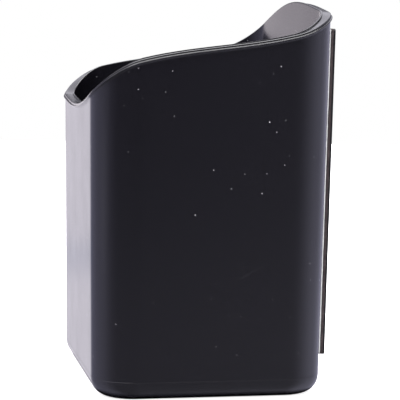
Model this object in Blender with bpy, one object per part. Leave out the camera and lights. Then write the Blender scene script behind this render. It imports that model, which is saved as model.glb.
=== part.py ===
"""Wall-mounted desk cup: a tall moulded cup with a raked rim and a magnet sheet bonded to its back.

Metres, +Z up. The origin is the middle of the cup's flat base. +X points to the back, where the
sheet is, so the low front of the rim is at -X. The cup is symmetric about the XZ plane.
"""

import math

import bmesh
import bpy
import numpy as np
from mathutils import Vector

# Cup, measured on the outside at the base plane
CUP_DEPTH = 0.075
CUP_WIDTH = 0.0983
CUP_HEIGHT = 0.1298
FRONT_CORNER_RADIUS = 0.0135
BACK_CORNER_RADIUS = 0.0133
WALL = 0.0034
FLOOR = 0.003
DRAFT = math.radians(0.79)
BASE_FILLET = 0.0058
FLOOR_FILLET = 0.003

# How far the rim lies below its high middle at the back, at each place on the way to the front
BACK_CORNER_DROP = 0.0049
FLANK_BACK_DROP = 0.0135
FLANK_FRONT_DROP = 0.0218
FRONT_CORNER_DROP = 0.0328
FRONT_MIDDLE_DROP = 0.0361

# Lip that stands out round the rim
LIP_OUT = 0.0006
LIP_HEIGHT = 0.0012
RIM_ROUND = 0.0006

# Layers on the back wall, from the cup outwards
LAYER_GAP = 0.0003
TAPE_THICKNESS = 0.0007
MAGNET_THICKNESS = 0.0007
FILM_THICKNESS = 0.0003
SHEET_ABOVE_BASE = 0.0115
SHEET_BELOW_RIM = 0.0058
SHEET_CORNER_RADIUS = 0.0010
TAPE_INSET = 0.0001

# Steps along each stretch of half the outline, and round the small fillets
FLAT_STEPS = 5
CORNER_STEPS = 8
FLANK_STEPS = 12
FILLET_STEPS = 4
ROUND_STEPS = 3


def clear_scene():
    for item in list(bpy.data.objects):
        bpy.data.objects.remove(item, do_unlink=True)


def material(name, colour, roughness):
    made = bpy.data.materials.new(name)
    made.use_nodes = True
    shader = made.node_tree.nodes["Principled BSDF"]
    shader.inputs["Base Color"].default_value = (*colour, 1.0)
    shader.inputs["Roughness"].default_value = roughness
    shader.inputs["Metallic"].default_value = 0.0
    return made


def half_outline():
    """Points, outward normals and distances along one half of the base outline, front middle first."""
    front = -CUP_DEPTH / 2
    back = CUP_DEPTH / 2
    side = CUP_WIDTH / 2
    front_centre = Vector((front + FRONT_CORNER_RADIUS, side - FRONT_CORNER_RADIUS))
    back_centre = Vector((back - BACK_CORNER_RADIUS, side - BACK_CORNER_RADIUS))
    points = []
    normals = []

    def straight(start, end, normal, steps):
        for step in range(steps):
            points.append(Vector(start).lerp(Vector(end), step / steps))
            normals.append(Vector(normal))

    def corner(centre, radius, first_angle):
        for step in range(CORNER_STEPS):
            angle = first_angle - step / CORNER_STEPS * math.pi / 2
            normal = Vector((math.cos(angle), math.sin(angle)))
            points.append(centre + radius * normal)
            normals.append(normal)

    straight((front, 0), (front, front_centre.y), (-1, 0), FLAT_STEPS)
    corner(front_centre, FRONT_CORNER_RADIUS, math.pi)
    straight((front_centre.x, side), (back_centre.x, side), (0, 1), FLANK_STEPS)
    corner(back_centre, BACK_CORNER_RADIUS, math.pi / 2)
    straight((back, back_centre.y), (back, 0), (1, 0), FLAT_STEPS)
    points.append(Vector((back, 0)))
    normals.append(Vector((1, 0)))
    distances = [0.0]
    for before, after in zip(points, points[1:]):
        distances.append(distances[-1] + (after - before).length)
    return points, normals, distances


def smooth_rise(places, heights, place):
    """A rising curve through the given heights, level at both ends and with no overshoot between."""
    gaps = np.diff(places)
    rises = np.diff(heights) / gaps
    slopes = [0.0]
    for before, after in zip(rises, rises[1:]):
        level = before * after <= 0
        slopes.append(0.0 if level else 2 * before * after / (before + after))
    slopes.append(0.0)
    span = min(int(np.searchsorted(places, place, side="right")) - 1, len(gaps) - 1)
    part = (place - places[span]) / gaps[span]
    start_weight = (1 + 2 * part) * (1 - part) ** 2
    end_weight = part**2 * (3 - 2 * part)
    start_bend = part * (1 - part) ** 2 * gaps[span] * slopes[span]
    end_bend = part**2 * (part - 1) * gaps[span] * slopes[span + 1]
    return heights[span] * start_weight + heights[span + 1] * end_weight + start_bend + end_bend


def whole_outline():
    """(point, normal, rim height) all the way round, from the front middle past +Y and back."""
    points, normals, distances = half_outline()
    steps = np.cumsum([0, FLAT_STEPS, CORNER_STEPS, FLANK_STEPS, CORNER_STEPS, FLAT_STEPS])
    places = [distances[step] for step in steps]
    drops = (FRONT_MIDDLE_DROP, FRONT_CORNER_DROP, FLANK_FRONT_DROP, FLANK_BACK_DROP, BACK_CORNER_DROP, 0)
    heights = [CUP_HEIGHT - drop for drop in drops]
    rims = [smooth_rise(places, heights, distance) for distance in distances]
    half = list(zip(points, normals, rims))
    mirror = Vector((1, -1))
    other = [(point * mirror, normal * mirror, rim) for point, normal, rim in half[-2:0:-1]]
    return half + other


def flat_ring(outline, offset, height):
    """The outline moved outwards by the offset, at one height."""
    return [(*(point + normal * offset), height) for point, normal, _ in outline]


def rim_ring(outline, offset, drop):
    """The outline at a drop below the rim, moved outwards by the offset from the drafted wall."""
    ring = []
    for point, normal, rim in outline:
        height = rim - drop
        ring.append((*(point + normal * (offset + height * math.tan(DRAFT))), height))
    return ring


def rounding(steps):
    """Sine and one minus cosine of the steps of a quarter turn, both ends included."""
    angles = [step / steps * math.pi / 2 for step in range(steps + 1)]
    return [(math.sin(angle), 1 - math.cos(angle)) for angle in angles]


def cup_rings():
    """The cup's surface as rings, from the middle of the base up the outside and down the inside."""
    outline = whole_outline()
    lean = math.tan(DRAFT)
    rings = []
    for across, up in rounding(FILLET_STEPS):
        height = BASE_FILLET * up
        rings.append(flat_ring(outline, BASE_FILLET * (across - 1) + height * lean, height))
    rings.append(rim_ring(outline, 0, LIP_HEIGHT + LIP_OUT))
    rings.append(rim_ring(outline, LIP_OUT, LIP_HEIGHT))
    for across, up in reversed(rounding(ROUND_STEPS)):
        rings.append(rim_ring(outline, LIP_OUT - RIM_ROUND * (1 - across), RIM_ROUND * up))
    for across, up in rounding(ROUND_STEPS):
        rings.append(rim_ring(outline, RIM_ROUND * (1 - across) - WALL, RIM_ROUND * up))
    for across, up in reversed(rounding(FILLET_STEPS)):
        height = FLOOR + FLOOR_FILLET * up
        offset = FLOOR_FILLET * (across - 1) - WALL + height * lean
        rings.append(flat_ring(outline, offset, height))
    return rings


def loft(name, rings, finish):
    """A closed solid through rings of equal length, capped at its first and last ring."""
    mesh = bpy.data.meshes.new(name)
    work = bmesh.new()
    rows = [[work.verts.new(place) for place in ring] for ring in rings]
    count = len(rings[0])
    for lower, upper in zip(rows, rows[1:]):
        for index in range(count):
            following = (index + 1) % count
            work.faces.new((lower[index], lower[following], upper[following], upper[index]))
    work.faces.new(rows[0])
    work.faces.new(rows[-1])
    bmesh.ops.recalc_face_normals(work, faces=work.faces)
    work.to_mesh(mesh)
    work.free()
    mesh.shade_smooth()
    mesh.set_sharp_from_angle(angle=math.radians(35))
    made = bpy.data.objects.new(name, mesh)
    made.data.materials.append(finish)
    bpy.context.scene.collection.objects.link(made)
    return made


def sheet_outline(half_width, bottom, top, radius):
    """Corners of a rounded rectangle on the back wall, as (across, up)."""
    corners = (
        (half_width - radius, top - radius, 0),
        (radius - half_width, top - radius, 90),
        (radius - half_width, bottom + radius, 180),
        (half_width - radius, bottom + radius, 270),
    )
    places = []
    for across, up, first_degrees in corners:
        for step in range(ROUND_STEPS + 1):
            angle = math.radians(first_degrees + 90 * step / ROUND_STEPS)
            places.append((across + radius * math.cos(angle), up + radius * math.sin(angle)))
    return places


def sheet_layer(name, inner, thickness, inset, finish, wall_plane):
    """One flat layer that lies parallel to the back wall, its inner face at a distance from it."""
    half_width = CUP_WIDTH / 2 - BACK_CORNER_RADIUS - inset
    bottom = SHEET_ABOVE_BASE + inset
    top = CUP_HEIGHT - BACK_CORNER_DROP - SHEET_BELOW_RIM - inset
    places = sheet_outline(half_width, bottom, top, SHEET_CORNER_RADIUS)
    rings = [[(inner + depth, across, up) for across, up in places] for depth in (0, thickness)]
    layer = loft(name, rings, finish)
    layer.parent = wall_plane
    return layer


def build():
    clear_scene()
    gloss_black = material("gloss_black_plastic", (0.012, 0.012, 0.016), 0.16)
    tape_white = material("white_foam_tape", (0.800, 0.800, 0.790), 0.80)
    ferrite_brown = material("ferrite_rubber", (0.060, 0.046, 0.042), 0.60)
    film_black = material("black_film", (0.010, 0.010, 0.011), 0.42)

    loft("cup_shell", cup_rings(), gloss_black)

    wall_plane = bpy.data.objects.new("back_wall_plane", None)
    wall_plane.location = (CUP_DEPTH / 2, 0, 0)
    wall_plane.rotation_euler = (0, DRAFT, 0)
    bpy.context.scene.collection.objects.link(wall_plane)

    tape_face = LAYER_GAP
    magnet_face = tape_face + TAPE_THICKNESS + LAYER_GAP
    film_face = magnet_face + MAGNET_THICKNESS + LAYER_GAP
    sheet_layer("bonding_tape", tape_face, TAPE_THICKNESS, TAPE_INSET, tape_white, wall_plane)
    sheet_layer("magnet_sheet", magnet_face, MAGNET_THICKNESS, 0, ferrite_brown, wall_plane)
    sheet_layer("facing_film", film_face, FILM_THICKNESS, 0, film_black, wall_plane)


build()
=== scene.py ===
# Tall glossy desk cup with a raked rim and a layered sheet bonded to its back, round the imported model.
import math
import bpy
from mathutils import Matrix, Vector, noise


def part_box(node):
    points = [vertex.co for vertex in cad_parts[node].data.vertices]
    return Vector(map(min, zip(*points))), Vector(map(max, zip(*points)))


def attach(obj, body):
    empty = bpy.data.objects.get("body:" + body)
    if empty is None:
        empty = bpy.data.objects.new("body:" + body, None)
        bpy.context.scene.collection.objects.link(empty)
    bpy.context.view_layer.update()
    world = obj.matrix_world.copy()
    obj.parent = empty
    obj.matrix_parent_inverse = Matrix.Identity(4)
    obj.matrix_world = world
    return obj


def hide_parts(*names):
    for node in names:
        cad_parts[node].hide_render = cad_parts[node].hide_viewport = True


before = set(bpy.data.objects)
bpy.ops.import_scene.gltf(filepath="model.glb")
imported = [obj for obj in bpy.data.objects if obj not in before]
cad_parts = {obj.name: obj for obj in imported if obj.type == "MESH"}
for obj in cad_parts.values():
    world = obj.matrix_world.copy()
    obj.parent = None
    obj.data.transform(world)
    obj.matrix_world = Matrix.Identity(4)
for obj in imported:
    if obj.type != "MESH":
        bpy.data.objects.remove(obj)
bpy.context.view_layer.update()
print("frame loaded:", sorted(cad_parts))

# camera, off the near side and a little towards the front
cameraSetup = {
    "azimuth": -11.671,        # degrees round the cup, 0 looks along +Y
    "elevation": 3.854,
    "roll": 0.905,
    "distance": 0.4869,
    "target": (0.0, 0.0, 0.057),
    "across": -0.004647,       # metres that the target sits right of the middle of the view
    "up": -0.003318,           # and above it
    "lens": 125.62,
    "sensor": 36.0,
}


def placeCamera():
    azimuth = math.radians(cameraSetup["azimuth"])
    elevation = math.radians(cameraSetup["elevation"])
    roll = math.radians(cameraSetup["roll"])
    flat = math.cos(elevation)
    back = Vector((math.sin(azimuth) * flat, -math.cos(azimuth) * flat, math.sin(elevation)))
    level = back.cross(Vector((0, 0, -1))).normalized()
    upright = back.cross(level)
    across = level * math.cos(roll) + upright * math.sin(roll)
    up = upright * math.cos(roll) - level * math.sin(roll)
    place = (Vector(cameraSetup["target"]) + back * cameraSetup["distance"]
             - across * cameraSetup["across"] - up * cameraSetup["up"])
    data = bpy.data.cameras.new("studioCamera")
    data.lens = cameraSetup["lens"]
    data.sensor_width = cameraSetup["sensor"]
    data.clip_start = 0.01
    camera = bpy.data.objects.new("studioCamera", data)
    turn = Matrix((across, up, back)).transposed().to_4x4()
    camera.matrix_world = Matrix.Translation(place) @ turn
    bpy.context.scene.collection.objects.link(camera)
    bpy.context.scene.camera = camera


placeCamera()
print("camera placed")


# short ways to add and link nodes
def addNode(tree, kind, **settings):
    node = tree.nodes.new(kind)
    for name, value in settings.items():
        setattr(node, name, value)
    return node


def feed(tree, source, socket):
    # a socket takes a link, or a plain value
    if isinstance(source, bpy.types.NodeSocket):
        tree.links.new(source, socket)
    else:
        socket.default_value = source


def calculate(tree, operation, *values, clamp=False):
    node = addNode(tree, "ShaderNodeMath", operation=operation, use_clamp=clamp)
    for value, socket in zip(values, node.inputs):
        feed(tree, value, socket)
    return node.outputs[0]


def vectorMath(tree, operation, *values):
    node = addNode(tree, "ShaderNodeVectorMath", operation=operation)
    if operation == "SCALE":
        feed(tree, values[0], node.inputs[0])
        feed(tree, values[1], node.inputs["Scale"])
        return node.outputs["Vector"]
    for value, socket in zip(values, node.inputs):
        feed(tree, value, socket)
    return node.outputs["Value" if operation in ("DOT_PRODUCT", "LENGTH") else "Vector"]


def softStep(tree, value, start, end, low=0.0, high=1.0):
    node = addNode(tree, "ShaderNodeMapRange", interpolation_type="SMOOTHSTEP")
    feed(tree, value, node.inputs["Value"])
    feed(tree, start, node.inputs["From Min"])
    feed(tree, end, node.inputs["From Max"])
    feed(tree, low, node.inputs["To Min"])
    feed(tree, high, node.inputs["To Max"])
    return node.outputs["Result"]


def blendColours(tree, share, first, second):
    node = addNode(tree, "ShaderNodeMix", data_type="RGBA")
    feed(tree, share, node.inputs["Factor"])
    feed(tree, first, node.inputs[6])
    feed(tree, second, node.inputs[7])
    return node.outputs[2]


def newGroup(name, inputs, outputs):
    tree = bpy.data.node_groups.new(name, "ShaderNodeTree")
    for label, kind, value in inputs:
        socket = tree.interface.new_socket(label, in_out="INPUT", socket_type=kind)
        if value is not None:
            socket.default_value = value
    for label, kind in outputs:
        tree.interface.new_socket(label, in_out="OUTPUT", socket_type=kind)
    return tree, tree.nodes.new("NodeGroupInput").outputs, tree.nodes.new("NodeGroupOutput").inputs


def useGroup(tree, group, label="", **values):
    node = addNode(tree, "ShaderNodeGroup", node_tree=group, label=label)
    for name, value in values.items():
        feed(tree, value, node.inputs[name])
    return node.outputs


# effects that several finishes share
def makeDustGroup():
    tree, given, out = newGroup("dustSpecks", [
        ("Position", "NodeSocketVector", None), ("Density", "NodeSocketFloat", 600.0),
        ("Size", "NodeSocketFloat", 0.08), ("Kept", "NodeSocketFloat", 0.15)],
        [("Mask", "NodeSocketFloat")])
    cells = addNode(tree, "ShaderNodeTexVoronoi", feature="F1")
    feed(tree, given["Position"], cells.inputs["Vector"])
    feed(tree, given["Density"], cells.inputs["Scale"])
    pick = addNode(tree, "ShaderNodeSeparateColor")
    feed(tree, cells.outputs["Color"], pick.inputs["Color"])
    kept = calculate(tree, "LESS_THAN", pick.outputs["Red"], given["Kept"])
    size = calculate(tree, "MULTIPLY", given["Size"], calculate(tree, "ADD", pick.outputs["Green"], 0.4))
    spot = softStep(tree, cells.outputs["Distance"], calculate(tree, "MULTIPLY", size, 0.5), size, 1.0, 0.0)
    feed(tree, calculate(tree, "MULTIPLY", spot, kept), out["Mask"])
    return tree


def makeScratchGroup():
    tree, given, out = newGroup("fineScratches", [
        ("Position", "NodeSocketVector", None), ("Turn", "NodeSocketFloat", 0.4),
        ("Length", "NodeSocketFloat", 14.0), ("Fineness", "NodeSocketFloat", 900.0),
        ("Amount", "NodeSocketFloat", 0.3)], [("Mask", "NodeSocketFloat")])
    turned = addNode(tree, "ShaderNodeVectorRotate", rotation_type="AXIS_ANGLE")
    feed(tree, given["Position"], turned.inputs["Vector"])
    turned.inputs["Axis"].default_value = (0.3, 1.0, 0.1)
    feed(tree, given["Turn"], turned.inputs["Angle"])
    stretch = addNode(tree, "ShaderNodeCombineXYZ")
    feed(tree, given["Length"], stretch.inputs["X"])
    feed(tree, given["Length"], stretch.inputs["Y"])
    feed(tree, given["Fineness"], stretch.inputs["Z"])
    streak = addNode(tree, "ShaderNodeTexNoise")
    feed(tree, vectorMath(tree, "MULTIPLY", turned.outputs[0], stretch.outputs[0]), streak.inputs["Vector"])
    streak.inputs["Scale"].default_value = 1.0
    streak.inputs["Detail"].default_value = 1.0
    patch = addNode(tree, "ShaderNodeTexNoise")
    feed(tree, given["Position"], patch.inputs["Vector"])
    patch.inputs["Scale"].default_value = 38.0
    line = softStep(tree, streak.outputs["Fac"], 0.70, 0.76)
    where = softStep(tree, patch.outputs["Fac"], calculate(tree, "SUBTRACT", 0.75, given["Amount"]), 0.8)
    feed(tree, calculate(tree, "MULTIPLY", line, where), out["Mask"])
    return tree


def makeGrainGroup():
    tree, given, out = newGroup("mouldedGrain", [
        ("Position", "NodeSocketVector", None), ("Fine", "NodeSocketFloat", 2600.0),
        ("Broad", "NodeSocketFloat", 90.0), ("Broad Share", "NodeSocketFloat", 0.5)],
        [("Height", "NodeSocketFloat"), ("Cloud", "NodeSocketFloat")])
    fine = addNode(tree, "ShaderNodeTexNoise")
    feed(tree, given["Position"], fine.inputs["Vector"])
    feed(tree, given["Fine"], fine.inputs["Scale"])
    fine.inputs["Detail"].default_value = 3.0
    broad = addNode(tree, "ShaderNodeTexNoise")
    feed(tree, given["Position"], broad.inputs["Vector"])
    feed(tree, given["Broad"], broad.inputs["Scale"])
    broad.inputs["Detail"].default_value = 2.0
    mixed = addNode(tree, "ShaderNodeMix", data_type="FLOAT")
    feed(tree, given["Broad Share"], mixed.inputs["Factor"])
    feed(tree, fine.outputs["Fac"], mixed.inputs[2])
    feed(tree, broad.outputs["Fac"], mixed.inputs[3])
    feed(tree, mixed.outputs[0], out["Height"])
    feed(tree, broad.outputs["Fac"], out["Cloud"])
    return tree


def makeWearGroup():
    tree, given, out = newGroup("edgeWear", [
        ("Position", "NodeSocketVector", None), ("Edge", "NodeSocketFloat", 0.0),
        ("Scale", "NodeSocketFloat", 400.0), ("Amount", "NodeSocketFloat", 0.5)],
        [("Mask", "NodeSocketFloat")])
    chips = addNode(tree, "ShaderNodeTexNoise")
    feed(tree, given["Position"], chips.inputs["Vector"])
    feed(tree, given["Scale"], chips.inputs["Scale"])
    chips.inputs["Detail"].default_value = 4.0
    worn = softStep(tree, chips.outputs["Fac"], 0.45, 0.65)
    strength = calculate(tree, "MULTIPLY", given["Edge"], given["Amount"])
    feed(tree, calculate(tree, "MULTIPLY", worn, strength, clamp=True), out["Mask"])
    return tree


dustSpecks = makeDustGroup()
fineScratches = makeScratchGroup()
mouldedGrain = makeGrainGroup()
edgeWear = makeWearGroup()
print("shared effects made")


# finishes, on Object coordinates and each piece's own edge attribute
def startMaterial(name):
    made = bpy.data.materials.new(name)
    made.use_nodes = True
    tree = made.node_tree
    shader = tree.nodes["Principled BSDF"]
    place = addNode(tree, "ShaderNodeTexCoord").outputs["Object"]
    edge = addNode(tree, "ShaderNodeAttribute", attribute_name="edge").outputs["Fac"]
    return made, tree, shader, place, edge


glossFinish = {
    "colour": (0.0044, 0.0041, 0.0058, 1),
    "dustColour": (0.62, 0.60, 0.62, 1),
    "wornColour": (0.030, 0.026, 0.023, 1),
    "dust": {"Density": 700.0, "Size": 0.095, "Kept": 0.06},
    "lint": {"Density": 260.0, "Size": 0.045, "Kept": 0.30},
    "scratchesUp": {"Turn": 0.5, "Length": 16.0, "Fineness": 1100.0, "Amount": 0.25},
    "scratchesDown": {"Turn": -0.9, "Length": 22.0, "Fineness": 1500.0, "Amount": 0.22},
    "grain": {"Fine": 3200.0, "Broad": 70.0},
    "wear": {"Scale": 600.0, "Amount": 0.25},
    "scratchShare": 0.012,         # how much of the dust colour a scratch and a speck take
    "speckShare": 0.8,
    "roughness": 0.20,
    "cloudRoughness": 0.05,
    "scratchRoughness": 0.07,
    "speckRoughness": 0.4,
    "bump": 0.02,
    "bumpDepth": 0.00004,
}


def makeGloss():
    made, tree, shader, place, edge = startMaterial("glossBlackPlastic")
    dust = useGroup(tree, dustSpecks, "dust", Position=place, **glossFinish["dust"])["Mask"]
    lint = useGroup(tree, dustSpecks, "lint", Position=place, **glossFinish["lint"])["Mask"]
    specks = calculate(tree, "MAXIMUM", dust, lint)
    rising, falling = (
        useGroup(tree, fineScratches, way, Position=place, **glossFinish[way])["Mask"]
        for way in ("scratchesUp", "scratchesDown"))
    scratches = calculate(tree, "MAXIMUM", rising, falling)
    grain = useGroup(tree, mouldedGrain, "grain", Position=place, **glossFinish["grain"])
    worn = useGroup(tree, edgeWear, "wear", Position=place, Edge=edge, **glossFinish["wear"])["Mask"]
    colour = blendColours(tree, worn, glossFinish["colour"], glossFinish["wornColour"])
    for mask, share in ((scratches, "scratchShare"), (specks, "speckShare")):
        covered = calculate(tree, "MULTIPLY", mask, glossFinish[share])
        colour = blendColours(tree, covered, colour, glossFinish["dustColour"])
    feed(tree, colour, shader.inputs["Base Color"])
    rough = calculate(tree, "MULTIPLY_ADD", grain["Cloud"], glossFinish["cloudRoughness"],
                      glossFinish["roughness"] - glossFinish["cloudRoughness"] / 2)
    rough = calculate(tree, "MULTIPLY_ADD", scratches, glossFinish["scratchRoughness"], rough)
    rough = calculate(tree, "MULTIPLY_ADD", specks, glossFinish["speckRoughness"], rough, clamp=True)
    feed(tree, rough, shader.inputs["Roughness"])
    bump = addNode(tree, "ShaderNodeBump")
    bump.inputs["Strength"].default_value = glossFinish["bump"]
    bump.inputs["Distance"].default_value = glossFinish["bumpDepth"]
    feed(tree, grain["Height"], bump.inputs["Height"])
    feed(tree, bump.outputs[0], shader.inputs["Normal"])
    return made


layerFinishes = {
    # the tape's pale colour is partly its own and partly a painted highlight: it stands in for the bright
    # highlight line along the back edge of the cup
    "tape": {
        "name": "whiteFoamTape", "colour": (0.66, 0.66, 0.66, 1), "fleck": (0.84, 0.84, 0.83, 1),
        "worn": (0.78, 0.77, 0.75, 1), "specular": 0.30, "roughness": 0.78,
        "fine": 5200.0, "broad": 420.0, "bump": 0.5},
    "magnet": {
        "name": "ferriteRubber", "colour": (0.044, 0.034, 0.035, 1), "fleck": (0.072, 0.056, 0.057, 1),
        "worn": (0.010, 0.009, 0.009, 1), "specular": 0.12, "roughness": 0.62,
        "fine": 4200.0, "broad": 300.0, "bump": 0.35},
    "film": {
        "name": "blackFilm", "colour": (0.006, 0.006, 0.0075, 1), "fleck": (0.012, 0.012, 0.014, 1),
        "worn": (0.014, 0.014, 0.016, 1), "specular": 0.25, "roughness": 0.42,
        "fine": 3000.0, "broad": 120.0, "bump": 0.12},
    "dust": {"Density": 520.0, "Size": 0.10, "Kept": 0.12},
    "marks": {"Turn": 0.3, "Length": 20.0, "Fineness": 900.0, "Amount": 0.3},
    "wear": {"Scale": 900.0, "Amount": 0.6},
    "dustColour": (0.30, 0.29, 0.30, 1),
    "dustShare": 0.6,
    "cloudRoughness": 0.16,
    "markRoughness": 0.15,
    "bumpDepth": 0.0001,
}


def makeLayerFinish(finish):
    made, tree, shader, place, edge = startMaterial(finish["name"])
    shader.inputs["Specular IOR Level"].default_value = finish["specular"]
    shared = layerFinishes
    grain = useGroup(tree, mouldedGrain, "grain", Position=place,
                     Fine=finish["fine"], Broad=finish["broad"])
    dust = useGroup(tree, dustSpecks, "dust", Position=place, **shared["dust"])["Mask"]
    marks = useGroup(tree, fineScratches, "marks", Position=place, **shared["marks"])["Mask"]
    worn = useGroup(tree, edgeWear, "wear", Position=place, Edge=edge, **shared["wear"])["Mask"]
    flecks = softStep(tree, grain["Height"], 0.48, 0.62)
    colour = blendColours(tree, flecks, finish["colour"], finish["fleck"])
    colour = blendColours(tree, worn, colour, finish["worn"])
    dusty = calculate(tree, "MULTIPLY", dust, shared["dustShare"])
    colour = blendColours(tree, dusty, colour, shared["dustColour"])
    feed(tree, colour, shader.inputs["Base Color"])
    rough = calculate(tree, "MULTIPLY_ADD", grain["Cloud"], shared["cloudRoughness"],
                      finish["roughness"] - shared["cloudRoughness"] / 2)
    rough = calculate(tree, "MULTIPLY_ADD", marks, shared["markRoughness"], rough, clamp=True)
    feed(tree, rough, shader.inputs["Roughness"])
    bump = addNode(tree, "ShaderNodeBump")
    bump.inputs["Strength"].default_value = finish["bump"]
    bump.inputs["Distance"].default_value = shared["bumpDepth"]
    feed(tree, grain["Height"], bump.inputs["Height"])
    feed(tree, bump.outputs[0], shader.inputs["Normal"])
    return made


glossPlastic = makeGloss()
layerMaterials = {key: makeLayerFinish(layerFinishes[key]) for key in ("tape", "magnet", "film")}
print("finishes made")


# a closed skin that carries a section along an outline
def makeSkinTree():
    tree = bpy.data.node_groups.new("sectionAlongOutline", "GeometryNodeTree")
    for label, kind in (("Outline", "NodeSocketObject"), ("Section", "NodeSocketObject"),
                        ("Around", "NodeSocketInt"), ("Along", "NodeSocketInt"),
                        ("Lean", "NodeSocketFloat"), ("Seam Gap", "NodeSocketFloat"),
                        ("Finish", "NodeSocketMaterial")):
        tree.interface.new_socket(label, in_out="INPUT", socket_type=kind)
    tree.interface.new_socket("Geometry", in_out="OUTPUT", socket_type="NodeSocketGeometry")
    given = tree.nodes.new("NodeGroupInput").outputs
    out = tree.nodes.new("NodeGroupOutput").inputs

    def sourceOf(socket):
        node = addNode(tree, "GeometryNodeObjectInfo", transform_space="ORIGINAL")
        feed(tree, socket, node.inputs["Object"])
        return node.outputs["Geometry"]

    def whole(operation, first, second):
        node = addNode(tree, "FunctionNodeIntegerMath", operation=operation)
        feed(tree, first, node.inputs[0])
        feed(tree, second, node.inputs[1])
        return node.outputs[0]

    def stored(name, kind):
        node = addNode(tree, "GeometryNodeInputNamedAttribute", data_type=kind)
        node.inputs["Name"].default_value = name
        return node.outputs["Attribute"]

    def sample(geometry, value, index, kind):
        node = addNode(tree, "GeometryNodeSampleIndex", data_type=kind, domain="POINT")
        feed(tree, geometry, node.inputs["Geometry"])
        feed(tree, value, node.inputs["Value"])
        feed(tree, index, node.inputs["Index"])
        return node.outputs["Value"]

    outline = sourceOf(given["Outline"])
    section = sourceOf(given["Section"])
    grid = addNode(tree, "GeometryNodeMeshGrid")
    feed(tree, whole("ADD", given["Around"], 1), grid.inputs["Vertices X"])
    feed(tree, given["Along"], grid.inputs["Vertices Y"])
    index = tree.nodes.new("GeometryNodeInputIndex").outputs[0]
    column = whole("MODULO", whole("DIVIDE_FLOOR", index, given["Along"]), given["Around"])
    row = whole("MODULO", index, given["Along"])
    spot = tree.nodes.new("GeometryNodeInputPosition").outputs[0]
    place = sample(outline, spot, column, "FLOAT_VECTOR")
    outward = sample(outline, stored("outward", "FLOAT_VECTOR"), column, "FLOAT_VECTOR")
    reach, rise, share, centre, edge = (
        sample(section, stored(name, "FLOAT"), row, "FLOAT")
        for name in ("reach", "rise", "share", "centre", "edge"))
    split = addNode(tree, "ShaderNodeSeparateXYZ")
    feed(tree, place, split.inputs[0])
    height = calculate(tree, "MULTIPLY_ADD", share, split.outputs["Z"], rise)
    offset = calculate(tree, "MULTIPLY_ADD", height, given["Lean"], reach)
    flat = addNode(tree, "ShaderNodeCombineXYZ")
    feed(tree, split.outputs["X"], flat.inputs["X"])
    feed(tree, split.outputs["Y"], flat.inputs["Y"])
    moved = vectorMath(tree, "ADD", flat.outputs[0], vectorMath(tree, "SCALE", outward, offset))
    drawn = vectorMath(tree, "SCALE", moved, calculate(tree, "SUBTRACT", 1.0, centre))
    lifted = addNode(tree, "ShaderNodeCombineXYZ")
    feed(tree, height, lifted.inputs["Z"])
    setPlace = addNode(tree, "GeometryNodeSetPosition")
    feed(tree, grid.outputs["Mesh"], setPlace.inputs["Geometry"])
    feed(tree, vectorMath(tree, "ADD", drawn, lifted.outputs[0]), setPlace.inputs["Position"])
    store = addNode(tree, "GeometryNodeStoreNamedAttribute", data_type="FLOAT", domain="POINT")
    feed(tree, setPlace.outputs[0], store.inputs["Geometry"])
    store.inputs["Name"].default_value = "edge"
    feed(tree, edge, store.inputs["Value"])
    merge = addNode(tree, "GeometryNodeMergeByDistance")
    feed(tree, store.outputs[0], merge.inputs["Geometry"])
    feed(tree, given["Seam Gap"], merge.inputs["Distance"])
    smooth = addNode(tree, "GeometryNodeSetShadeSmooth")
    feed(tree, merge.outputs[0], smooth.inputs["Geometry"])
    realize = addNode(tree, "GeometryNodeRealizeInstances")
    feed(tree, smooth.outputs[0], realize.inputs[0])
    finish = addNode(tree, "GeometryNodeSetMaterial")
    feed(tree, realize.outputs[0], finish.inputs["Geometry"])
    feed(tree, given["Finish"], finish.inputs["Material"])
    feed(tree, finish.outputs[0], out["Geometry"])
    return tree


skinTree = makeSkinTree()
seamGap = 0.000004      # points nearer than this are merged


def pointsObject(name, places, attributes):
    mesh = bpy.data.meshes.new(name)
    mesh.from_pydata(places, [], [])
    for label, (kind, values) in attributes.items():
        layer = mesh.attributes.new(label, kind, "POINT")
        flatValues = [part for value in values for part in value] if kind == "FLOAT_VECTOR" else values
        layer.data.foreach_set("vector" if kind == "FLOAT_VECTOR" else "value", flatValues)
    made = bpy.data.objects.new(name, mesh)
    bpy.context.scene.collection.objects.link(made)
    return made


def skinPiece(name, outline, section, lean, finish, turn=None):
    # an outline is places with ways outward; a section row is reach, rise, share, centre and edge:
    # out from the outline, up, the share of the outline's height, how far drawn in to the middle, and wear
    guide = pointsObject("outline_" + name, [place for place, _ in outline],
                         {"outward": ("FLOAT_VECTOR", [(*way, 0.0) for _, way in outline])})
    labels = ("reach", "rise", "share", "centre", "edge")
    profile = pointsObject("section_" + name, [(0, 0, 0)] * len(section),
                           {label: ("FLOAT", [row[part] for row in section])
                            for part, label in enumerate(labels)})
    host = bpy.data.objects.new("host_" + name, bpy.data.meshes.new("host_" + name))
    bpy.context.scene.collection.objects.link(host)
    modifier = host.modifiers.new("skin", "NODES")
    modifier.node_group = skinTree
    settings = {"Outline": guide, "Section": profile, "Around": len(outline), "Along": len(section),
                "Lean": lean, "Seam Gap": seamGap, "Finish": finish}
    for item in skinTree.interface.items_tree:
        if item.in_out == "INPUT":
            modifier[item.identifier] = settings[item.name]
    bpy.context.view_layer.update()
    graph = bpy.context.evaluated_depsgraph_get()
    mesh = bpy.data.meshes.new_from_object(host.evaluated_get(graph), depsgraph=graph)
    host.modifiers.remove(modifier)
    for helper in (host, guide, profile):
        bpy.data.objects.remove(helper, do_unlink=True)
    mesh.materials.pop(index=0)         # the empty slot that a grid starts with
    if turn is not None:
        mesh.transform(turn)
    mesh.name = name
    made = bpy.data.objects.new(name, mesh)
    bpy.context.scene.collection.objects.link(made)
    print("made", name, len(mesh.polygons), "faces")
    return made


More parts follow.
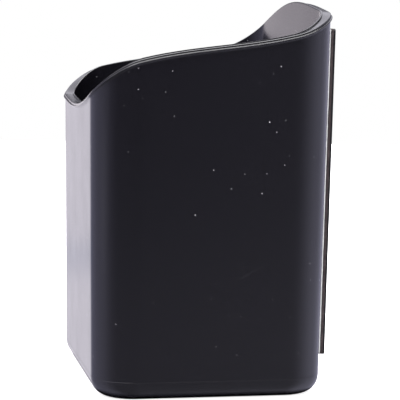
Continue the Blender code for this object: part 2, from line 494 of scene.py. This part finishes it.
# the cup, in metres
cup = {
    "frontRadius": 0.0135,
    "backRadius": 0.0133,
    "wall": 0.0034,
    "floor": 0.003,
    "lean": math.tan(math.radians(0.79)),
    "baseFillet": 0.0058,
    "floorFillet": 0.003,
    "rimDrops": (0.0361, 0.0328, 0.0221, 0.0136, 0.0049, 0.0),   # front middle to back middle
    "lipOut": 0.0006,
    "lipHeight": 0.0017,
    "beadRound": 0.00025,          # the bead along the foot of the lip
    "neckOut": 0.00010,            # the face between the bead and the rounded top
    "rimRound": 0.00035,
    "innerRound": 0.0003,
    "shelfDrop": 0.0004,           # the rim steps up to a narrow ridge along its inner side
    "ridgeWidth": 0.0007,
    "ridgeRound": 0.00006,
    "creaseOut": 0.00004,          # fine moulded line round the top of the base fillet
    "creaseHeight": 0.00045,
    "creaseRise": 0.0001,          # how far it starts above the fillet
    "footWidth": 0.004,            # the flat that the cup stands on, round a shallow recess
    "footDepth": 0.0003,
    "stepsFlat": 14,
    "stepsCorner": 30,
    "stepsFlank": 44,
    "wallRows": 28,
}


def smoothRise(places, heights, place):
    # rises through the heights, level at both ends and with no overshoot between
    gaps = [after - before for before, after in zip(places, places[1:])]
    rises = [(after - before) / gap for before, after, gap in zip(heights, heights[1:], gaps)]
    slopes = [0.0]
    for before, after in zip(rises, rises[1:]):
        slopes.append(0.0 if before * after <= 0 else 2 * before * after / (before + after))
    slopes.append(0.0)
    span = max(part for part in range(len(gaps)) if part == 0 or places[part] <= place)
    part = (place - places[span]) / gaps[span]
    return (heights[span] * (1 + 2 * part) * (1 - part) ** 2
            + heights[span + 1] * part**2 * (3 - 2 * part)
            + part * (1 - part) ** 2 * gaps[span] * slopes[span]
            + part**2 * (part - 1) * gaps[span] * slopes[span + 1])


def cupOutline():
    low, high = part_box("cup_shell")
    lean, lip, drops = cup["lean"], cup["lipOut"], cup["rimDrops"]
    beadDrop = cup["lipHeight"] - cup["beadRound"]
    # the box is set by the bead: at the back middle, and at the back end of the flank
    back = high.x - lip - (high.z - beadDrop) * lean
    side = high.y - lip - (high.z - drops[3] - beadDrop) * lean
    frontRadius, backRadius = cup["frontRadius"], cup["backRadius"]
    frontCentre = Vector((-back + frontRadius, side - frontRadius))
    backCentre = Vector((back - backRadius, side - backRadius))
    points = []

    def straight(start, end, way, steps):
        for step in range(steps):
            points.append((Vector(start).lerp(Vector(end), step / steps), Vector(way)))

    def corner(centre, radius, first):
        for step in range(cup["stepsCorner"]):
            angle = math.radians(first - 90 * step / cup["stepsCorner"])
            way = Vector((math.cos(angle), math.sin(angle)))
            points.append((centre + way * radius, way))

    straight((-back, 0), (-back, frontCentre.y), (-1, 0), cup["stepsFlat"])
    corner(frontCentre, frontRadius, 180)
    straight((frontCentre.x, side), (backCentre.x, side), (0, 1), cup["stepsFlank"])
    corner(backCentre, backRadius, 90)
    straight((back, backCentre.y), (back, 0), (1, 0), cup["stepsFlat"])
    points.append((Vector((back, 0)), Vector((1, 0))))
    distances = [0.0]
    for (before, _), (after, _) in zip(points, points[1:]):
        distances.append(distances[-1] + (after - before).length)
    steps = [0, cup["stepsFlat"], cup["stepsCorner"], cup["stepsFlank"],
             cup["stepsCorner"], cup["stepsFlat"]]
    places = [distances[sum(steps[:count + 1])] for count in range(len(steps))]
    heights = [high.z - drop for drop in drops]
    half = [((point.x, point.y, smoothRise(places, heights, distance)), (way.x, way.y))
            for (point, way), distance in zip(points, distances)]
    other = [((x, -y, z), (across, -along)) for (x, y, z), (across, along) in half[-2:0:-1]]
    return (half + other)[::-1]         # this way round, the faces point outwards


def arc(reach, rise, radius, first, last, steps, share, edge):
    # rows round a small radius whose centre is at (reach, rise)
    rows = []
    for step in range(steps + 1):
        angle = math.radians(first + (last - first) * step / steps)
        rows.append((reach + radius * math.cos(angle), rise + radius * math.sin(angle), share, 0.0, edge))
    return rows


def wallRows(reach, low, highDrop, count):
    # rows up a wall, from a height above the base to a drop below the rim
    rows = []
    for step in range(count + 1):
        part = step / count
        rows.append((reach, low * (1 - part) - highDrop * part, part, 0.0, 0.0))
    return rows


def cupSection():
    fillet, foot, depth = cup["baseFillet"], cup["footWidth"], cup["footDepth"]
    crease, creaseHeight = cup["creaseOut"], cup["creaseHeight"]
    lip, lipHeight, rimRound = cup["lipOut"], cup["lipHeight"], cup["rimRound"]
    wall, floor, floorFillet = cup["wall"], cup["floor"], cup["floorFillet"]
    inner, bead, neck = cup["innerRound"], cup["beadRound"], cup["neckOut"]
    shelf, ridgeRound = cup["shelfDrop"], cup["ridgeRound"]
    rows = [(-fillet - foot, depth, 0.0, 1 - part / 6, 0.0) for part in range(7)]
    rows.append((-fillet - foot + depth, 0.0, 0.0, 0.0, 0.3))
    rows.append((-fillet - foot / 2, 0.0, 0.0, 0.0, 0.2))
    rows += arc(-fillet, fillet, fillet, -90, 0, 14, 0.0, 0.0)
    base = fillet + cup["creaseRise"]
    rows.append((0.0, base, 0.0, 0.0, 0.2))
    rows += arc(0.0, base + creaseHeight / 2, crease, -60, 60, 4, 0.0, 0.5)
    rows.append((0.0, base + creaseHeight, 0.0, 0.0, 0.2))
    rows += wallRows(0.0, base + creaseHeight + 0.0002, lipHeight + 0.0006, cup["wallRows"])
    rows.append((0.0, -lipHeight - 0.0003, 1.0, 0.0, 0.0))
    rows += arc(lip - bead, -lipHeight + bead, bead, -90, 75, 9, 1.0, 0.7)
    rows += arc(neck + 0.0002, -lipHeight + 2 * bead + 0.00022, -0.0002, 80, 0, 4, 1.0, 0.0)
    rows += arc(neck - rimRound, -shelf - rimRound, rimRound, 0, 90, 8, 1.0, 0.6)
    rows.append((-0.0006, -shelf, 1.0, 0.0, 0.2))
    step = cup["ridgeWidth"] - wall
    rows += [(step + 0.0001, -shelf, 1.0, 0.0, 0.2), (step + 0.00002, -shelf, 1.0, 0.0, 0.0),
             (step, -shelf + 0.00002, 1.0, 0.0, 0.0), (step, -shelf / 2, 1.0, 0.0, 0.0)]
    rows += arc(step - ridgeRound, -ridgeRound, ridgeRound, 0, 90, 4, 1.0, 0.4)
    rows += arc(-wall + inner, -inner, inner, 90, 180, 6, 1.0, 0.8)
    down = wallRows(-wall, floor + floorFillet, inner + 0.0003, cup["wallRows"])
    rows += down[::-1]
    rows += arc(-wall - floorFillet, floor + floorFillet, floorFillet, 0, -90, 8, 0.0, 0.0)[1:]
    rows += [(-wall - floorFillet, floor, 0.0, part / 6, 0.0) for part in range(1, 7)]
    return rows


cupShell = skinPiece("cup", cupOutline(), cupSection(), cup["lean"], glossPlastic)
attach(cupShell, "root")
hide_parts("cup_shell")
print("cup made")


# layers bonded to the back wall, with distances out from it in metres
sheet = {
    "cornerRadius": 0.0010,
    "stack": 0.0026,
    "edgeRound": 0.00008,
    "pointGap": 0.0015,            # along the cut edge
    "raggedScale": 260,
    "tape": {"node": "bonding_tape", "from": 0.00002, "to": 0.00105, "seed": 3, "ragged": 0.00015,
             "slot": "tape_foam"},
    "magnet": {"node": "magnet_sheet", "from": 0.00107, "to": 0.00200, "seed": 5, "ragged": 0.00008,
               "slot": "magnet_rubber"},
    "film": {"node": "facing_film", "from": 0.00201, "to": 0.0026, "seed": 8, "ragged": 0.00005,
             "slot": "film"},
}


def sheetOutline(layer):
    # a rounded rectangle in its own plane, with a slightly uneven cut edge, and its thickness
    low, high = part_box(layer["node"])
    halfWidth = high.y
    upright = (high.z - low.z) / math.cos(math.atan(cup["lean"])) / 2
    radius = sheet["cornerRadius"]
    points = []
    corners = ((1, 1, 0), (-1, 1, 90), (-1, -1, 180), (1, -1, 270))
    for across, up, first in corners:
        for step in range(7):
            angle = math.radians(first + 15 * step)
            way = Vector((math.cos(angle), math.sin(angle)))
            centre = Vector((across * (halfWidth - radius), up * (upright - radius)))
            points.append((centre + way * radius, way))
    filled = []
    for (start, startWay), (end, endWay) in zip(points, points[1:] + points[:1]):
        steps = max(1, round((end - start).length / sheet["pointGap"]))
        for step in range(steps):
            share = step / steps
            filled.append((start.lerp(end, share), startWay.lerp(endWay, share).normalized()))
    thickness = layer["to"] - layer["from"]
    scale = sheet["raggedScale"]
    outline = []
    for point, way in filled:
        wobble = noise.noise(Vector((point.x * scale, point.y * scale, layer["seed"] * 7.3)))
        cut = -layer["ragged"] * (0.5 + 0.5 * wobble)
        outline.append(((point.x + way.x * cut, point.y + way.y * cut, thickness), (way.x, way.y)))
    return outline


def sheetSection():
    soft = sheet["edgeRound"]
    rows = [(0.0, 0.0, 0.0, 1 - part / 10, 0.0) for part in range(10)]
    rows.append((-3 * soft, 0.0, 0.0, 0.0, 0.2))
    rows += arc(-soft, soft, soft, -90, 0, 3, 0.0, 0.8)
    rows += [(0.0, soft * (1 - part / 3) - soft * part / 3, part / 3, 0.0, 0.5) for part in (1, 2)]
    rows += arc(-soft, -soft, soft, 0, 90, 3, 1.0, 0.8)
    rows.append((-3 * soft, 0.0, 1.0, 0.0, 0.2))
    rows += [(0.0, 0.0, 1.0, part / 10, 0.0) for part in range(1, 11)]
    return rows


def sheetPlace(layer):
    # own plane: x across, y up, z out from the wall; the wall leans by the draft
    low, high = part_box(layer["node"])
    lean = math.atan(cup["lean"])
    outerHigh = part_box("facing_film")[1]
    outward = Vector((math.cos(lean), 0, -math.sin(lean)))
    up = Vector((math.sin(lean), 0, math.cos(lean)))
    across = Vector((0, 1, 0))
    middleHeight = (low.z + high.z) / 2
    outerFace = outerHigh.x - (outerHigh.z - middleHeight) * math.tan(lean)
    centre = Vector((outerFace, 0, middleHeight)) - outward * (sheet["stack"] - layer["from"])
    turn = Matrix((across, up, outward)).transposed().to_4x4()
    return Matrix.Translation(centre) @ turn


for key, pieceName in (("tape", "foamTape"), ("magnet", "ferriteSheet"), ("film", "backFilm")):
    layer = sheet[key]
    piece = skinPiece(pieceName, sheetOutline(layer), sheetSection(), 0.0,
                      layerMaterials[key], sheetPlace(layer))
    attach(piece, "root")
    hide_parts(layer["node"])
print("sheet layers made")


# floor, surroundings and lights
studio = {
    "white": 1.0,
    "floorAlbedo": 0.8,
    "floorSize": 6.0,
    "floorDrop": 0.0001,           # keeps the floor just clear of the base
    "sun": 7.0,
    "sunAngle": 60.0,
    "sunTilt": (8.0, -6.0),
    "dark": (0.035, 0.034, 0.050),         # what a reflection finds between the cards
    "footInset": {"X": 0.0022, "Y": 0.004},        # from the cup's box to the edge of its foot
    "footprintNear": -0.0012,      # reflections find painted black shade nearer the foot, in place of the contact shade, and the room further off
    "footprintFar": 0.002,
    "glowFrom": -0.008,            # the floor turns plain white to the camera across this band
    "glowTo": -0.001,
    # azimuth, full to and gone by, lowest and highest edge, all in degrees; a light below zero
    # takes light away
    "cards": (
        {"name": "right wall", "azimuth": 35, "full": 40, "gone": 103,
         "bottom": (-90, -60), "top": (4, 14), "light": (0.67, 0.66, 0.86)},
        {"name": "back card", "azimuth": 86, "full": 13, "gone": 26,
         "bottom": (-30, -12), "top": (4, 12), "light": (0.77, 0.72, 0.69)},
        {"name": "far edge of the paper", "azimuth": 102, "full": 14, "gone": 24,
         "bottom": (-7.4, -6.6), "top": (-6.2, -5.4), "light": (-0.24, -0.20, -0.17)},
        {"name": "low back strip", "azimuth": 102, "full": 14, "gone": 26,
         "bottom": (0, 2.5), "top": (6, 9), "light": (0.24, 0.19, 0.15)},
        {"name": "left lamp", "azimuth": 176, "full": 4, "gone": 18,
         "bottom": (-8.5, -6), "top": (-4, -2), "light": (0.30, 0.30, 0.33)},
        {"name": "left box", "azimuth": 155, "full": 10, "gone": 65,
         "bottom": (-90, -60), "top": (5, 30), "light": (0.46, 0.45, 0.62)},
        {"name": "right front", "azimuth": -38, "full": 36, "gone": 43,
         "bottom": (-90, -60), "top": (10, 40), "light": (0.12, 0.12, 0.14)},
        {"name": "front floor", "azimuth": -90, "full": 80, "gone": 150,
         "bottom": (-92, -91), "top": (-13, -3), "light": (0.24, 0.235, 0.27)},
        {"name": "rear softbox", "azimuth": 95, "full": 25, "gone": 70,
         "bottom": (18, 38), "top": (55, 80), "light": (1.35, 1.32, 1.48)},
        {"name": "upper left softbox", "azimuth": 205, "full": 30, "gone": 65,
         "bottom": (12, 28), "top": (60, 80), "light": (1.7, 1.7, 1.9)},
        {"name": "ceiling", "azimuth": 0, "full": 170, "gone": 200,
         "bottom": (8, 40), "top": (91, 95), "light": (0.72, 0.71, 0.76)},
    ),
}


def makeCardGroup():
    tree, given, out = newGroup("softCard", [
        ("Direction", "NodeSocketVector", None), ("Facing", "NodeSocketVector", None),
        ("Full", "NodeSocketFloat", 0.0), ("Gone", "NodeSocketFloat", 0.0),
        ("Bottom Start", "NodeSocketFloat", 0.0), ("Bottom End", "NodeSocketFloat", 0.0),
        ("Top Start", "NodeSocketFloat", 0.0), ("Top End", "NodeSocketFloat", 0.0),
        ("Colour", "NodeSocketVector", None)], [("Light", "NodeSocketVector")])
    flat = vectorMath(tree, "NORMALIZE", vectorMath(tree, "MULTIPLY", given["Direction"], (1, 1, 0)))
    away = calculate(tree, "ARCCOSINE", vectorMath(tree, "DOT_PRODUCT", flat, given["Facing"]))
    parts = addNode(tree, "ShaderNodeSeparateXYZ")
    feed(tree, given["Direction"], parts.inputs[0])
    height = calculate(tree, "ARCSINE", parts.outputs["Z"])
    sideways = softStep(tree, away, given["Full"], given["Gone"], 1.0, 0.0)
    bottom = softStep(tree, height, given["Bottom Start"], given["Bottom End"])
    top = softStep(tree, height, given["Top Start"], given["Top End"], 1.0, 0.0)
    share = calculate(tree, "MULTIPLY", calculate(tree, "MULTIPLY", sideways, bottom), top)
    feed(tree, vectorMath(tree, "SCALE", given["Colour"], share), out["Light"])
    return tree


def makeWorld():
    world = bpy.data.worlds.new("studio")
    bpy.context.scene.world = world
    world.use_nodes = True
    tree = world.node_tree
    tree.nodes.clear()
    direction = addNode(tree, "ShaderNodeTexCoord").outputs["Generated"]
    group = makeCardGroup()
    total = studio["dark"]
    for card in studio["cards"]:
        azimuth = math.radians(card["azimuth"])
        light = useGroup(tree, group, card["name"], **{
            "Direction": direction, "Facing": (math.cos(azimuth), math.sin(azimuth), 0),
            "Full": math.radians(card["full"]), "Gone": math.radians(card["gone"]),
            "Bottom Start": math.radians(card["bottom"][0]),
            "Bottom End": math.radians(card["bottom"][1]),
            "Top Start": math.radians(card["top"][0]), "Top End": math.radians(card["top"][1]),
            "Colour": card["light"]})["Light"]
        total = vectorMath(tree, "ADD", total, light)
    around = addNode(tree, "ShaderNodeBackground")
    feed(tree, total, around.inputs["Color"])
    seen = addNode(tree, "ShaderNodeBackground")
    seen.inputs["Color"].default_value = (studio["white"],) * 3 + (1,)
    path = addNode(tree, "ShaderNodeLightPath")
    pick = addNode(tree, "ShaderNodeMixShader")
    feed(tree, path.outputs["Is Camera Ray"], pick.inputs[0])
    feed(tree, around.outputs[0], pick.inputs[1])
    feed(tree, seen.outputs[0], pick.inputs[2])
    out = addNode(tree, "ShaderNodeOutputWorld")
    feed(tree, pick.outputs[0], out.inputs["Surface"])


def makeFloor():
    half = studio["floorSize"] / 2
    corners = ((-half, -half), (half, -half), (half, half), (-half, half))
    mesh = bpy.data.meshes.new("floor")
    mesh.from_pydata([(*corner, -studio["floorDrop"]) for corner in corners], [], [(0, 1, 2, 3)])
    floor = bpy.data.objects.new("floor", mesh)
    bpy.context.scene.collection.objects.link(floor)
    made = bpy.data.materials.new("paleFloor")
    made.use_nodes = True
    tree = made.node_tree
    tree.nodes.clear()
    matt = addNode(tree, "ShaderNodeBsdfDiffuse")
    matt.inputs["Color"].default_value = (studio["floorAlbedo"],) * 3 + (1,)
    clear = addNode(tree, "ShaderNodeBsdfTransparent")
    # painted contact shade: a black patch round the foot that only reflections see
    paintedContactShade = addNode(tree, "ShaderNodeEmission")
    paintedContactShade.inputs["Strength"].default_value = 0.0
    path = addNode(tree, "ShaderNodeLightPath")
    spot = addNode(tree, "ShaderNodeSeparateXYZ")
    feed(tree, addNode(tree, "ShaderNodeTexCoord").outputs["Object"], spot.inputs[0])
    # distance past the edge of the foot, a rectangle with rounded corners
    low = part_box("cup_shell")[0]
    radius = cup["frontRadius"]
    squares = []
    for axis, lowest in (("X", low.x), ("Y", low.y)):
        straight = -lowest - studio["footInset"][axis] - radius
        aside = calculate(tree, "ABSOLUTE", spot.outputs[axis])
        past = calculate(tree, "MAXIMUM", calculate(tree, "SUBTRACT", aside, straight), 0.0)
        squares.append(calculate(tree, "MULTIPLY", past, past))
    fromCentres = calculate(tree, "SQRT", calculate(tree, "ADD", *squares))
    beyond = calculate(tree, "SUBTRACT", fromCentres, radius)
    away = softStep(tree, beyond, studio["footprintNear"], studio["footprintFar"])
    # for reflections: the painted black contact shade near the foot, clear to the room further off
    mirrored = addNode(tree, "ShaderNodeMixShader")
    feed(tree, away, mirrored.inputs[0])
    feed(tree, paintedContactShade.outputs[0], mirrored.inputs[1])
    feed(tree, clear.outputs[0], mirrored.inputs[2])
    pick = addNode(tree, "ShaderNodeMixShader")
    feed(tree, path.outputs["Is Glossy Ray"], pick.inputs[0])
    feed(tree, matt.outputs[0], pick.inputs[1])
    feed(tree, mirrored.outputs[0], pick.inputs[2])
    glow = addNode(tree, "ShaderNodeEmission")
    lit = softStep(tree, beyond, studio["glowFrom"], studio["glowTo"])
    feed(tree, calculate(tree, "MULTIPLY", path.outputs["Is Camera Ray"], lit), glow.inputs["Strength"])
    both = addNode(tree, "ShaderNodeAddShader")
    for part, socket in zip((pick, glow), both.inputs):
        feed(tree, part.outputs[0], socket)
    out = addNode(tree, "ShaderNodeOutputMaterial")
    feed(tree, both.outputs[0], out.inputs["Surface"])
    mesh.materials.append(made)


def makeSun():
    data = bpy.data.lights.new("softSun", "SUN")
    data.energy = studio["sun"]
    data.angle = math.radians(studio["sunAngle"])
    sun = bpy.data.objects.new("softSun", data)
    sun.rotation_euler = tuple(math.radians(tilt) for tilt in studio["sunTilt"]) + (0,)
    bpy.context.scene.collection.objects.link(sun)


makeWorld()
makeFloor()
makeSun()
bpy.context.scene.view_settings.view_transform = "Standard"
print("studio made")
